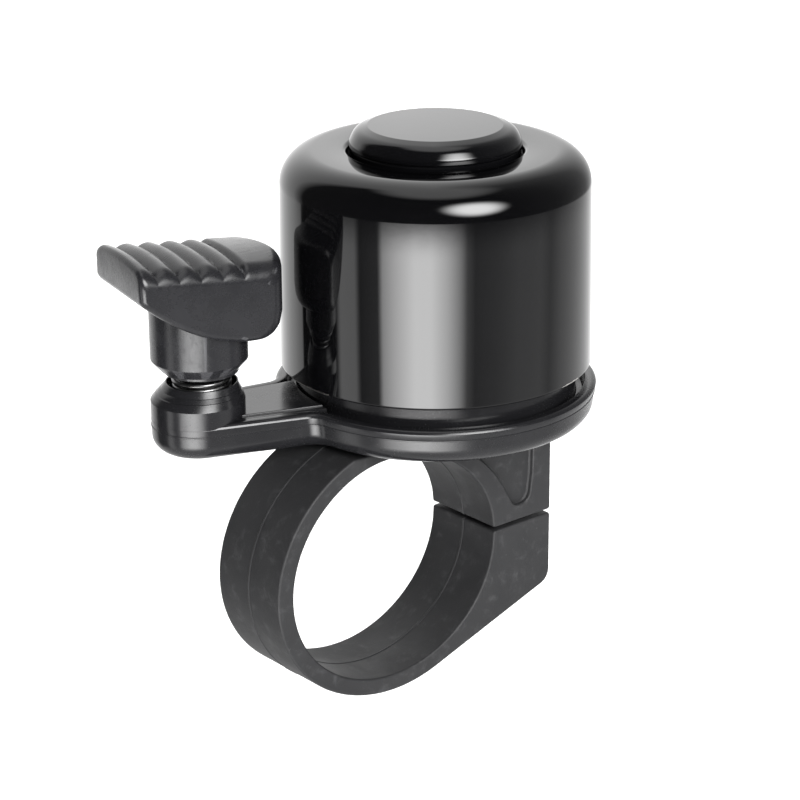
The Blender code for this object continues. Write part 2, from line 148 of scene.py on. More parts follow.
# The striker: its lever is drawn along the arm from the pivot, and outwards is negative.
LEVER_YAW = math.radians(4.2)
LEVER_W = 12.36
LEVER_OUT = -8.73
LEVER_IN = 8.4
LEVER_BOW = 2.15
LEVER_TOP = 16.75
LEVER_FALL = 0.088
LEVER_CROWN = 0.62
LEVER_SIDE_ROUND = 1.6
LEVER_LOW_ROUND = 0.8
UNDER_LOW = 7.2
UNDER_AT = 3.9
UNDER_BEND = 0.0358
RIBS = 5
RIB_FIRST = -8.1
RIB_PITCH = 2.36
RIB_H = 0.55
HUB_R = 5.05
HUB_SHIFT = -0.16
HUB_TOP = 12.0
HUB_BOTTOM = 4.45
COLLAR_R = 3.88
COLLAR_TOP = 3.3
COLLAR_BOTTOM = 2.95
CUP_R = 3.3
CUP_TOP = 3.45
PIN_R = 1.9
PIN_BOTTOM = 1.1
SPRING_R = 2.85
SPRING_WIRE = 0.55
SPRING_TURNS = 3
SPRING_BOTTOM = 0.3
SPRING_GAP = 0.04

# How finely the lever's top and underside are drawn.
TOP_STEPS = 260
UNDER_STEPS = 60

# ---------------------------------------------------------------- node materials


class Tree:
    """What the materials' and the world's node trees share. Inputs are values or other nodes' outputs."""

    def new(self, kind, **settings):
        node = self.tree.nodes.new(kind)
        for key, value in settings.items():
            setattr(node, key, value)
        return node

    def plug(self, socket, value):
        if isinstance(value, bpy.types.NodeSocket):
            self.tree.links.new(value, socket)
        else:
            socket.default_value = value

    def math(self, operation, first, second):
        node = self.new("ShaderNodeMath", operation=operation)
        self.plug(node.inputs[0], first)
        self.plug(node.inputs[1], second)
        return node.outputs["Value"]

    def spread(self, value, low, high, to_low=0.0, to_high=1.0):
        """A smooth step from one value to another between low and high."""
        node = self.new("ShaderNodeMapRange", interpolation_type="SMOOTHSTEP")
        self.plug(node.inputs["Value"], value)
        node.inputs["From Min"].default_value = low
        node.inputs["From Max"].default_value = high
        node.inputs["To Min"].default_value = to_low
        node.inputs["To Max"].default_value = to_high
        return node.outputs["Result"]

    def mix(self, share, first, second):
        """A mix of two colours."""
        node = self.new("ShaderNodeMix", data_type="RGBA")
        self.plug(node.inputs["Factor"], share)
        colours = [s for s in node.inputs if s.type == "RGBA"]
        for socket, value in zip(colours, (first, second)):
            self.plug(socket, (*value, 1.0) if isinstance(value, tuple) else value)
        return next(s for s in node.outputs if s.type == "RGBA")


class Nodes(Tree):
    """A material's node tree in the object's own coordinates, so noise scales are per metre."""

    def __init__(self, name):
        self.material = bpy.data.materials.new(name)
        self.material.use_nodes = True
        self.tree = self.material.node_tree
        self.shader = self.tree.nodes["Principled BSDF"]
        self.place = self.new("ShaderNodeTexCoord").outputs["Object"]

    def set(self, **values):
        """Sets or plugs the shader's inputs by name."""
        for key, value in values.items():
            self.plug(self.shader.inputs[key.replace("_", " ")], value)

    def stretched(self, scale, turn=(0.0, 0.0, 0.0)):
        node = self.new("ShaderNodeMapping")
        self.plug(node.inputs["Vector"], self.place)
        node.inputs["Scale"].default_value = scale
        node.inputs["Rotation"].default_value = turn
        return node.outputs["Vector"]

    def noise(self, scale, detail=4.0, rough=0.55, distort=0.0, place=None):
        node = self.new("ShaderNodeTexNoise")
        self.plug(node.inputs["Vector"], place or self.place)
        node.inputs["Scale"].default_value = scale
        node.inputs["Detail"].default_value = detail
        node.inputs["Roughness"].default_value = rough
        node.inputs["Distortion"].default_value = distort
        return node.outputs["Fac"]

    def cells(self, scale):
        node = self.new("ShaderNodeTexVoronoi")
        self.plug(node.inputs["Vector"], self.place)
        node.inputs["Scale"].default_value = scale
        return node.outputs["Distance"]

    def axis(self, letter):
        node = self.new("ShaderNodeSeparateXYZ")
        self.plug(node.inputs["Vector"], self.place)
        return node.outputs[letter]

    def edges(self, low, high):
        """Worn outer edges, from how far the surface turns outwards."""
        node = self.new("ShaderNodeNewGeometry")
        return self.spread(node.outputs["Pointiness"], low, high)

    def bump(self, *layers):
        """Height layers of (height, strength, distance in metres), from the coarsest to the finest."""
        normal = None
        for height, strength, distance in layers:
            node = self.new("ShaderNodeBump")
            node.inputs["Strength"].default_value = strength
            node.inputs["Distance"].default_value = distance
            self.plug(node.inputs["Height"], height)
            if normal:
                self.plug(node.inputs["Normal"], normal)
            normal = node.outputs["Normal"]
        self.plug(self.shader.inputs["Normal"], normal)

    def done(self):
        return self.material


def towards(n, degrees, spread):
    """1 on the part of the gong's rim that faces a direction in plan, 0 elsewhere."""
    turn = math.radians(degrees)
    across = n.math("MULTIPLY", n.math("SUBTRACT", n.axis("X"), BELL_X * MM), math.cos(turn))
    along = n.math("MULTIPLY", n.axis("Y"), math.sin(turn))
    reach = DOME_R * MM * math.cos(math.radians(spread))
    return n.math("GREATER_THAN", n.math("ADD", across, along), reach)


def dome_enamel():
    """Black stoving enamel over steel, chipped to bare metal along the rim only on its two sides that
    catch the light, so the metal there is partly a painted highlight.
    """
    n = Nodes("dome_enamel")
    height = n.axis("Z")
    patch = n.noise(900, 5, 0.65)
    chips = n.math("ADD", n.math("MULTIPLY", patch, 0.55 * MM), (RIM_Z + DOME_LOW - 0.02) * MM)
    low = n.math("LESS_THAN", height, chips)
    # Bare rim metal only on the two sides where the rim catches the light: chipped enamel and painted
    # highlight together.
    highlight_sides = n.math("MAXIMUM", towards(n, 174, 14), towards(n, 287, 7))
    bare_and_highlight = n.math("MULTIPLY", low, highlight_sides)
    cloud = n.noise(140, 4, 0.6, 0.3)
    grain = n.noise(9000, 2, 0.5)
    enamel = n.mix(cloud, (0.0010, 0.0010, 0.0012), (0.0018, 0.0018, 0.0021))
    n.set(Base_Color=n.mix(bare_and_highlight, enamel, (0.62, 0.60, 0.57)))
    n.set(Metallic=bare_and_highlight)
    haze = n.spread(cloud, 0.35, 0.75, 0.030, 0.075)
    n.set(Roughness=n.math("ADD", haze, n.math("MULTIPLY", bare_and_highlight, 0.25)))
    n.bump((n.noise(260, 3, 0.5), 0.05, 0.06 * MM), (grain, 0.03, 0.004 * MM))
    return n.done()


def cap_plastic():
    """High-gloss moulding with faint swirls from handling."""
    n = Nodes("cap_plastic")
    cloud = n.noise(210, 4, 0.6)
    swirl = n.noise(700, 6, 0.7, 1.5, n.stretched((1, 6, 1), (0, 0, 0.5)))
    n.set(Base_Color=n.mix(cloud, (0.0020, 0.0020, 0.0025), (0.0040, 0.0040, 0.0045)))
    haze = n.spread(cloud, 0.3, 0.7, 0.05, 0.085)
    n.set(Roughness=n.math("ADD", haze, n.spread(swirl, 0.55, 0.8, 0, 0.03)))
    n.bump((n.noise(300, 2), 0.05, 0.05 * MM), (n.noise(6000, 2), 0.03, 0.004 * MM))
    return n.done()


def base_plastic():
    """Semi-gloss black moulding: fine speckle, slight shrink waves and paler rubbed edges."""
    n = Nodes("base_plastic")
    cloud = n.noise(180, 5, 0.6, 0.4)
    speck = n.cells(3600)
    worn = n.edges(0.53, 0.62)
    body = n.mix(cloud, (0.006, 0.006, 0.007), (0.012, 0.012, 0.013))
    n.set(Base_Color=n.mix(n.math("MULTIPLY", worn, 0.35), body, (0.075, 0.075, 0.078)))
    rough = n.spread(cloud, 0.3, 0.75, 0.17, 0.27)
    n.set(Roughness=n.math("ADD", rough, n.spread(speck, 0.0, 0.35, 0.08, 0.0)))
    n.set(Specular_IOR_Level=0.45)
    n.bump(
        (n.noise(420, 3, 0.5), 0.20, 0.06 * MM),
        (n.noise(5200, 3, 0.6), 0.16, 0.012 * MM),
    )
    return n.done()


def striker_plastic():
    """Satin black moulding with a fine flow grain across the ribs and rubbed crests."""
    n = Nodes("striker_plastic")
    cloud = n.noise(240, 5, 0.62, 0.5)
    flow = n.noise(1500, 5, 0.7, 0.6, n.stretched((0.35, 2.4, 1.0), (0, 0, ARM_ANGLE)))
    worn = n.edges(0.52, 0.60)
    body = n.mix(cloud, (0.008, 0.008, 0.009), (0.015, 0.015, 0.017))
    n.set(Base_Color=n.mix(n.math("MULTIPLY", worn, 0.40), body, (0.085, 0.085, 0.090)))
    rough = n.math("ADD", n.spread(cloud, 0.3, 0.75, 0.20, 0.30), n.spread(flow, 0.4, 0.8, 0.0, 0.12))
    n.set(Roughness=rough, Specular_IOR_Level=0.42)
    n.bump(
        (n.noise(520, 3, 0.5), 0.22, 0.07 * MM),
        (flow, 0.16, 0.02 * MM),
        (n.noise(7000, 3, 0.6), 0.18, 0.010 * MM),
    )
    return n.done()


def clamp_nylon():
    """Matt glass-filled nylon: spark-eroded texture, dull patches, dust and pale scuffs round the band."""
    n = Nodes("clamp_nylon")
    cloud = n.noise(150, 5, 0.62, 0.6)
    texture = n.noise(5600, 4, 0.65)
    scratch = n.noise(1300, 6, 0.75, 0.4, n.stretched((1, 9, 1), (0.3, 0, 0)))
    scuff = n.math("MULTIPLY", n.spread(scratch, 0.60, 0.72), n.spread(n.noise(260, 3), 0.50, 0.66))
    body = n.mix(cloud, (0.011, 0.011, 0.012), (0.019, 0.019, 0.020))
    dust = n.math("MULTIPLY", n.spread(n.noise(620, 6, 0.7, 0.3), 0.50, 0.80), 0.25)
    pale = n.math("MAXIMUM", dust, n.math("MULTIPLY", scuff, 0.60))
    n.set(Base_Color=n.mix(pale, body, (0.100, 0.100, 0.104)))
    dull = n.spread(cloud, 0.3, 0.7, 0.46, 0.60)
    n.set(Roughness=n.math("ADD", dull, n.math("MULTIPLY", texture, 0.08)))
    n.set(Specular_IOR_Level=0.4)
    n.bump(
        (n.noise(380, 4, 0.6), 0.25, 0.10 * MM),
        (texture, 0.55, 0.022 * MM),
        (scratch, 0.10, 0.02 * MM),
    )
    return n.done()


def metal(name, dark, pale, rough_low, rough_high, scale, stretch=(1, 1, 1)):
    """Plain or plated steel with drawn or tumbled marks and brighter edges."""
    n = Nodes(name)
    cloud = n.noise(scale * 0.25, 5, 0.65)
    marks = n.noise(scale, 5, 0.7, 0.2, n.stretched(stretch))
    worn = n.edges(0.50, 0.60)
    bright = tuple(min(1.0, c * 1.15) for c in pale)
    n.set(Base_Color=n.mix(worn, n.mix(cloud, dark, pale), bright))
    n.set(Metallic=1.0)
    rough = n.spread(cloud, 0.3, 0.7, rough_low, rough_high)
    n.set(Roughness=n.math("ADD", rough, n.math("MULTIPLY", marks, 0.06)))
    n.bump((marks, 0.18, 0.012 * MM))
    return n.done()


def bushing_nylon():
    """Natural nylon, faintly translucent, with turning marks."""
    n = Nodes("bushing_nylon")
    cloud = n.noise(300, 4)
    marks = n.noise(2200, 4, 0.6, 0.0, n.stretched((0.3, 0.3, 6)))
    n.set(Base_Color=n.mix(cloud, (0.66, 0.64, 0.58), (0.80, 0.78, 0.73)))
    n.set(Roughness=n.spread(cloud, 0.3, 0.7, 0.42, 0.55))
    n.set(Subsurface_Weight=0.15, Subsurface_Scale=0.5 * MM)
    n.bump((marks, 0.2, 0.02 * MM))
    return n.done()


# ---------------------------------------------------------------- outlines


def arc(cx, cy, radius, start, end, steps):
    """Points of an arc about (cx, cy), both ends included."""
    angles = [start + (end - start) * k / steps for k in range(steps + 1)]
    return [(cx + radius * math.cos(a), cy + radius * math.sin(a)) for a in angles]


def circle(radius, cx=0.0, cy=0.0, steps=96):
    """Points of a closed circle."""
    return arc(cx, cy, radius, 0, 2 * math.pi * (1 - 1 / steps), steps - 1)


def rounded(corners, closed=False, steps=5):
    """Points of a path of (x, y, radius) corners, each rounded to its radius."""
    points = []
    last = len(corners) - 1
    for i, (x, y, radius) in enumerate(corners):
        here = Vector((x, y))
        if radius <= 0 or (not closed and i in (0, last)):
            points.append((x, y))
            continue
        back = Vector(corners[i - 1][:2]) - here
        ahead = Vector(corners[(i + 1) % len(corners)][:2]) - here
        half = back.angle(ahead) / 2
        reach = min(radius / math.tan(half), 0.499 * back.length, 0.499 * ahead.length)
        middle = back.normalized() + ahead.normalized()
        if middle.length < 1e-6:
            points.append((x, y))
            continue
        size = reach * math.tan(half)
        centre = here + middle.normalized() * (size / math.sin(half))
        first = here + back.normalized() * reach - centre
        turn = first.angle_signed(here + ahead.normalized() * reach - centre)
        for k in range(steps + 1):
            a = -turn * k / steps
            c, s = math.cos(a), math.sin(a)
            points.append((centre.x + first.x * c - first.y * s,
                           centre.y + first.x * s + first.y * c))
    return points


def inset(outline, amount):
    """A closed anticlockwise outline moved towards its own inside, each corner mitred."""
    moved = []
    count = len(outline)
    for i in range(count):
        before = Vector(outline[i]) - Vector(outline[i - 1])
        after = Vector(outline[(i + 1) % count]) - Vector(outline[i])
        if before.length < 1e-9 or after.length < 1e-9:
            before = after = before + after
        first = Vector((-before.y, before.x)).normalized()
        second = Vector((-after.y, after.x)).normalized()
        middle = (first + second).normalized()
        stretch = min(1.0 / max(middle.dot(first), 0.3), 2.0)
        moved.append((outline[i][0] + middle.x * amount * stretch,
                      outline[i][1] + middle.y * amount * stretch))
    return moved


# ---------------------------------------------------------------- solids


def revolved(profile, steps=96, centre=(0.0, 0.0)):
    """Points and faces of a closed loop of (radius, height) turned about Z."""
    verts = []
    rings = []
    for radius, height in profile:
        if radius < 1e-6:
            rings.append([len(verts)] * steps)
            verts.append((centre[0], centre[1], height))
            continue
        rings.append(list(range(len(verts), len(verts) + steps)))
        for k in range(steps):
            angle = 2 * math.pi * k / steps
            verts.append((centre[0] + radius * math.cos(angle),
                          centre[1] + radius * math.sin(angle), height))
    faces = []
    for i, ring in enumerate(rings):
        above = rings[(i + 1) % len(rings)]
        for k in range(steps):
            corner = []
            for v in (ring[k], ring[(k + 1) % steps], above[(k + 1) % steps], above[k]):
                if v not in corner:
                    corner.append(v)
            if len(corner) > 2:
                faces.append(corner)
    return verts, faces


def lofted(rings):
    """Points and faces of a stack of rings with the same count, closed at both ends."""
    count = len(rings[0])
    verts = [point for ring in rings for point in ring]
    faces = [list(range(count)), list(range((len(rings) - 1) * count, len(rings) * count))]
    for i in range(len(rings) - 1):
        for k in range(count):
            j = (k + 1) % count
            faces.append([i * count + k, i * count + j, (i + 1) * count + j, (i + 1) * count + k])
    return verts, faces


def level(outline, z):
    """An outline's points at one height."""
    return [(x, y, z) for x, y in outline]


def prism(outline, low, high):
    """A closed outline raised from one height to another."""
    return lofted([level(outline, low), level(outline, high)])


def build(name, shape, place=None):
    """An object from points in millimetres, with its place in its mesh."""
    verts, faces = shape
    mesh = bpy.data.meshes.new(name)
    mesh.from_pydata([Vector(v) for v in verts], [], faces)
    mesh.transform(Matrix.Scale(MM, 4) @ (place or Matrix.Identity(4)))
    work = bmesh.new()
    work.from_mesh(mesh)
    bmesh.ops.recalc_face_normals(work, faces=work.faces)
    work.to_mesh(mesh)
    work.free()
    obj = bpy.data.objects.new(name, mesh)
    bpy.context.scene.collection.objects.link(obj)
    return obj


def combine(target, operation, *shapes, place=None):
    """Joins shapes to the target or cuts them from it, and leaves the result in its mesh."""
    for shape in shapes:
        helper = build("helper", shape, place)
        modifier = target.modifiers.new("combine", "BOOLEAN")
        modifier.operation = operation
        modifier.solver = "EXACT"
        modifier.object = helper
        graph = bpy.context.evaluated_depsgraph_get()
        mesh = bpy.data.meshes.new_from_object(target.evaluated_get(graph))
        target.modifiers.clear()
        old = target.data
        target.data = mesh
        bpy.data.meshes.remove(old)
        bpy.data.objects.remove(helper)


def finished(obj, material, body, nodes, sharp=32.0):
    """Smooth shading with sharp edges kept, its material, and its place in the frame."""
    mesh = obj.data
    mesh.materials.clear()
    mesh.materials.append(material)
    mesh.polygons.foreach_set("use_smooth", [True] * len(mesh.polygons))
    mesh.polygons.foreach_set("material_index", [0] * len(mesh.polygons))
    mesh.set_sharp_from_angle(angle=math.radians(sharp))
    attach(obj, body)
    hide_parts(*nodes)
    return obj


# The bell frame, the same with its +X out along the arm, and the striker's, whose +X points inwards.
BELL = Matrix.Translation((BELL_X, 0, RIM_Z))
ARM_FRAME = BELL @ Matrix.Rotation(ARM_ANGLE, 4, "Z")
INWARDS = Matrix.Rotation(ARM_ANGLE + math.pi, 4, "Z")
STRIKER_FRAME = Matrix.Translation((PIVOT.x, PIVOT.y, RIM_Z)) @ INWARDS

# ---------------------------------------------------------------- dome, cap, bushing


def make_dome(material):
    """The gong: a shell of even thickness with a rolled shoulder, a sunk centre and a hole."""
    low = DIMPLE_Z - DOME_T
    corners = [
        (DOME_R, DOME_LOW, 0.3),
        (DOME_TOP_R, DOME_H, SHOULDER_R),
        (DIMPLE_R + 0.1, DOME_H, 0.5),
        (DIMPLE_R, DIMPLE_Z, 0.35),
        (DOME_HOLE_R, DIMPLE_Z, 0.1),
        (DOME_HOLE_R, low, 0.1),
        (DIMPLE_R + 0.6, low, 0.5),
        (DIMPLE_R + 1.0, DOME_H - DOME_T, 0.4),
        (DOME_TOP_R - DOME_T, DOME_H - DOME_T, SHOULDER_R - DOME_T),
        (DOME_R - DOME_T, DOME_LOW, 0.3),
    ]
    profile = []
    for i, (x, z, radius) in enumerate(corners):
        steps = 28 if radius > 3 else 6
        three = [corners[i - 1], (x, z, radius), corners[(i + 1) % len(corners)]]
        profile += rounded(three, steps=steps)[1:-1]
    gong = build("gong_dome", revolved(profile, 224), BELL)
    return finished(gong, material, "head", ["dome"])


def make_cap(material):
    """The round cap in the gong's sunk centre, hollow underneath."""
    inner = CAP_WALL_R - CAP_WALL_T
    low = DIMPLE_Z + 0.3
    corners = [
        (0, CAP_TOP, 0),
        (CAP_FLAT_R, CAP_TOP, 0.3),
        (CAP_FLAT_R + 1.3, CAP_TOP - 0.42, 1.6),
        (CAP_R, CAP_EDGE + 0.1, 0.6),
        (CAP_R, CAP_EDGE - 0.42, 0.15),
        (CAP_WALL_R, CAP_EDGE - 0.55, 0.1),
        (CAP_WALL_R, low, 0.1),
        (inner, low, 0.1),
        (inner, CAP_TOP - CAP_ROOF_T, 0.5),
        (0, CAP_TOP - CAP_ROOF_T, 0),
    ]
    shape = revolved(rounded(corners, steps=8), 160)
    return finished(build("centre_cap", shape, BELL), material, "head", ["cap"])


def make_bushing(material):
    """A flanged nylon bushing between the post and the gong."""
    low = POST_TOP + 0.15
    flange = DIMPLE_Z - DOME_T - 0.15
    top = DIMPLE_Z + 0.1
    neck = DOME_HOLE_R - 0.25
    corners = [
        (BOLT_HOLE_R, low, 0.15),
        (BUSHING_R, low, 0.2),
        (BUSHING_R, flange, 0.2),
        (neck, flange, 0.1),
        (neck, top, 0.15),
        (BOLT_HOLE_R, top, 0.15),
    ]
    shape = revolved(rounded(corners, closed=True), 64)
    obj = build("isolating_bushing", shape, BELL)
    return finished(obj, material, "head", ["dome_bushing"])


# ---------------------------------------------------------------- base moulding


def base_outline(amount, lean=0.0):
    """Plan of dish, flared arm and boss in the arm's frame, moved inwards; the dish leans in more."""
    big = DISH_R - amount - lean
    fillet = FILLET_R + amount
    end = ARM_LENGTH + BOSS_SHIFT
    rise = end * math.sin(ARM_FLARE) + BOSS_R + FILLET_R
    reach = math.sqrt((big + fillet) ** 2 - rise**2)
    x = rise * math.sin(ARM_FLARE) + reach * math.cos(ARM_FLARE)
    y = rise * math.cos(ARM_FLARE) - reach * math.sin(ARM_FLARE)
    turn = math.atan2(y, x)
    square = math.pi / 2 + ARM_FLARE
    side = arc(0, 0, big, turn, 2 * math.pi - turn, 180)
    low = arc(x, -y, fillet, math.pi - turn, square, 12)
    boss = arc(end, 0, BOSS_R - amount, ARM_FLARE - math.pi / 2, math.pi / 2 - ARM_FLARE, 64)
    high = arc(x, y, fillet, -square, turn - math.pi, 12)
    return side + low[1:] + boss + high[:-1]


def arm_top_outline(amount):
    """The raised middle of the arm, between the dish's ring wall and the boss."""
    end = ARM_LENGTH + BOSS_SHIFT
    start = RING_WALL_R + 0.3
    tight = BOSS_R - LIP_W - amount
    wide = tight + (end - start) * math.tan(ARM_FLARE)
    turn = math.asin(wide / start)
    return [(end, -tight), (end, tight)] + arc(0, 0, start, turn, -turn, 16)


def base_levels():
    """The moulding's outside as (inset, lean, height), from its underside over the lip to the tray."""
    levels = []
    for a in [math.pi / 2 * k / 9 for k in range(10)]:
        levels.append((PARTING_LINE + DISH_CURL * (1 - math.sin(a)), 0.22,
                       DISH_BOTTOM + DISH_CURL_H * (1 - math.cos(a))))
    levels += [
        (PARTING_LINE, 0.14, PARTING - 0.10),
        (0.0, 0.12, PARTING - 0.05),
        (0.0, 0.11, PARTING + 0.05),
        (PARTING_LINE, 0.10, PARTING + 0.10),
        (0.03, 0.02, LIP_TOP - 0.62),
        (0.03, 0.0, LIP_TOP - 0.40),
        (0.11, 0.0, LIP_TOP - 0.23),
        (0.24, 0.0, LIP_TOP - 0.10),
        (0.40, 0.0, LIP_TOP - 0.025),
        (0.58, 0.0, LIP_TOP),
        (LIP_W - 0.22, 0.0, LIP_TOP),
        (LIP_W - 0.08, 0.0, LIP_TOP - 0.04),
        (LIP_W, 0.0, LIP_TOP - 0.16),
        (LIP_W + 0.08, 0.0, TRAY_FLOOR + 0.45),
        (LIP_W + 0.22, 0.0, TRAY_FLOOR + 0.12),
        (LIP_W + 0.50, 0.0, TRAY_FLOOR),
    ]
    return levels


def ring_wall_profile():
    """The upright wall under the gong's rim, with a fillet at its outer foot."""
    inner = RING_WALL_R - RING_WALL_T
    foot = RING_WALL_R + 0.4
    return [
        (inner, ROOT, 0),
        (inner, RING_WALL_TOP, 0.25),
        (RING_WALL_R, RING_WALL_TOP, 0.25),
        (RING_WALL_R, TRAY_FLOOR + 0.02, 0.4),
        (foot, TRAY_FLOOR - 0.2, 0),
        (foot, ROOT, 0),
    ]


def post_profile():
    """The tapered post that carries the gong."""
    return [
        (0, ROOT, 0),
        (POST_FOOT_R, ROOT, 0),
        (POST_FOOT_R, TRAY_FLOOR + 0.4, 0.3),
        (POST_R + 0.9, TRAY_FLOOR + 1.6, 1.5),
        (POST_R, POST_TOP, 0.3),
        (0, POST_TOP, 0),
    ]


def crater_profile():
    """The hollow in the boss: a chamfered mouth and a groove round the spring's raised seat."""
    above = BOSS_TOP + 1
    return [
        (0, above, 0),
        (CRATER_R + 0.6, above, 0),
        (CRATER_R + 0.08, BOSS_TOP + 0.06, 0.1),
        (CRATER_R, BOSS_TOP - 0.2, 0.1),
        (CRATER_R, CRATER_Z, 0.2),
        (SPRING_SEAT_R, CRATER_Z, 0.1),
        (SPRING_SEAT_R, SPRING_SEAT_Z, 0.25),
        (0, SPRING_SEAT_Z, 0),
    ]


def arm_top():
    """The arm's raised top, with a soft edge."""
    levels = [(0.55, ROOT), (0.55, ARM_TOP - 0.12), (0.58, ARM_TOP - 0.04), (0.66, ARM_TOP)]
    return lofted([level(arm_top_outline(amount), z) for amount, z in levels])


def make_base(material):
    """Dish, arm, boss, ring wall and post as one moulding, with the boss's crater and the bolt's hole."""
    rings = [level(base_outline(amount, lean), z) for amount, lean, z in base_levels()]
    base = build("base_moulding", lofted(rings), ARM_FRAME)
    filling = prism(arm_top_outline(-0.1), ROOT, LIP_TOP - 0.02)
    wall = revolved(rounded(ring_wall_profile()), 192)
    post = revolved(rounded(post_profile()), 64)
    crater = revolved(rounded(crater_profile()), 128, (ARM_LENGTH, 0.0))
    bolt_hole = prism(circle(BOLT_HOLE_R, steps=48), DISH_BOTTOM - 2, POST_TOP + 2)
    combine(base, "UNION", filling, wall, post, arm_top(), boss_shape(), place=ARM_FRAME)
    combine(base, "DIFFERENCE", crater, bolt_hole, place=ARM_FRAME)
    return finished(base, material, "head", ["base"], 24.0)


def boss_shape():
    """A round boss whose coned top leans in to the striker's pivot, with two fine steps round the cone."""
    rim = BOSS_R - 0.04
    height = BOSS_TOP - BOSS_CONE_Z

    def on_cone(share, step=0.0):
        """A level a share of the way up the cone, drawn in by a step."""
        return (rim - (rim - BOSS_TOP_R) * share - step, BOSS_CONE_Z + height * share, 1.0 - share)

    levels = [
        (rim - 0.3, ROOT, 1.0),
        (rim, LIP_TOP - 0.6, 1.0),
        (rim, BOSS_CONE_Z - 0.06, 1.0),
        (rim - 0.05, BOSS_CONE_Z + 0.03, 1.0),
        on_cone(0.36),
        on_cone(0.38, 0.05),
        on_cone(0.62, 0.05),
        on_cone(0.64, 0.09),
        on_cone(0.95, 0.05),
        (BOSS_TOP_R - 0.02, BOSS_TOP - 0.03, 0.0),
        (BOSS_TOP_R - 0.06, BOSS_TOP, 0.0),
    ]
    rings = []
    for radius, z, share in levels:
        rings.append(level(circle(radius, ARM_LENGTH + BOSS_SHIFT * share, 0, 128), z))
    return lofted(rings)


# ---------------------------------------------------------------- striker and spring


def rounding(past, radius):
    """How far a rounded edge falls back at a distance past the start of its rounding."""
    return radius - math.sqrt(max(radius**2 - past**2, 0.0)) if past > 0 else 0.0


def rib_drop(u):
    """How far the ribbed top lies below the crests at u; past the last rib it runs out flat."""
    phase = (u - RIB_FIRST) / RIB_PITCH
    if phase < RIBS - 0.5:
        return RIB_H * (1.0 - abs(math.cos(math.pi * phase)) ** 0.8)
    past = (phase - RIBS + 0.5) * RIB_PITCH
    return RIB_H * max(0.0, 1.0 - past / 0.7) ** 2


def lever_section(across):
    """The lever's side outline at a distance across it, with the same count each time."""
    half = LEVER_W / 2
    beside = half - abs(across)
    bow = (across / half) ** 2
    fall = rounding(LEVER_SIDE_ROUND - beside, LEVER_SIDE_ROUND)
    rise = rounding(LEVER_LOW_ROUND - beside, LEVER_LOW_ROUND)
    ribbed = max(0.0, 1.0 - fall / 1.2)
    end_in = LEVER_IN - LEVER_BOW * bow - rise
    end_out = LEVER_OUT + rise * 0.8
    top = []
    for k in range(TOP_STEPS + 1):
        u = end_out + (end_in - end_out) * k / TOP_STEPS
        z = LEVER_TOP - LEVER_FALL * (u - LEVER_OUT) - LEVER_CROWN * bow - fall - rib_drop(u) * ribbed
        z -= rounding(0.5 - (u - end_out), 0.5) + rounding(1.0 - (end_in - u), 1.0)
        top.append((u, z))
    under = []
    for k in range(UNDER_STEPS + 1):
        u = end_in - (end_in - end_out) * k / UNDER_STEPS
        z = UNDER_LOW + UNDER_BEND * max(UNDER_AT - u, 0.0) ** 2 + rise
        z += rounding(2.5 - (end_in - u), 2.5) + rounding(0.25 - (u - end_out), 0.25)
        under.append((u, z))
    return top + under


def make_striker(material):
    """Lever, hub, cupped collar and pin as one moulding; the lever has more sections at its sides."""
    half = LEVER_W / 2
    near = [0.0, 0.012, 0.04, 0.09, 0.16, 0.25, 0.36, 0.48, 0.62, 0.78, 0.96, 1.16, 1.38, 1.6, 1.9]
    middle = [2.3 + 0.64 * k for k in range(6)]
    places = near + middle
    stations = [-half + p for p in places] + [0.0] + [half - p for p in reversed(places)]
    turned = STRIKER_FRAME @ Matrix.Rotation(LEVER_YAW, 4, "Z")
    sections = [[(u, w, z) for u, z in lever_section(w)] for w in stations]
    striker = build("striker", lofted(sections), turned)
    hub = [
        (0, HUB_TOP, 0),
        (HUB_R, HUB_TOP, 0),
        (HUB_R, HUB_BOTTOM, 0.12),
        (COLLAR_R + 0.22, COLLAR_TOP + 0.05, 0.05),
        (COLLAR_R - 0.2, COLLAR_TOP, 0),
        (COLLAR_R - 0.2, CUP_TOP + 0.1, 0),
        (0, CUP_TOP + 0.1, 0),
    ]
    collar = [
        (0, HUB_BOTTOM + 1, 0),
        (COLLAR_R, HUB_BOTTOM + 1, 0),
        (COLLAR_R, COLLAR_BOTTOM, 0.1),
        (CUP_R, COLLAR_BOTTOM, 0.05),
        (CUP_R, CUP_TOP, 0.1),
        (PIN_R, CUP_TOP, 0.1),
        (PIN_R, PIN_BOTTOM, 0.35),
        (0, PIN_BOTTOM, 0),
    ]
    combine(striker, "UNION", revolved(rounded(hub), 144, (HUB_SHIFT, 0.0)), place=STRIKER_FRAME)
    combine(striker, "UNION", revolved(rounded(collar), 128), place=STRIKER_FRAME)
    return finished(striker, material, "striker", ["striker"], 40.0)


def make_spring(material):
    """A close coil of round wire swept along its helix, its ends cut square."""
    per_turn = 72
    sides = 16
    wire = SPRING_WIRE / 2
    rise = SPRING_WIRE + SPRING_GAP
    rings = []
    for k in range(SPRING_TURNS * per_turn + 1):
        angle = 2 * math.pi * k / per_turn
        z = SPRING_BOTTOM + wire + rise * k / per_turn
        ring = []
        for s in range(sides):
            a = 2 * math.pi * s / sides
            reach = SPRING_R + wire * math.cos(a)
            ring.append((reach * math.cos(angle), reach * math.sin(angle), z + wire * math.sin(a)))
        rings.append(ring)
    obj = build("striker_coil", lofted(rings), STRIKER_FRAME)
    return finished(obj, material, "spring", ["striker_spring"])


# ---------------------------------------------------------------- clamp


def squashed(points):
    """Points flattened as the clamp's ring is."""
    return [(x, z * OVAL) for x, z in points]


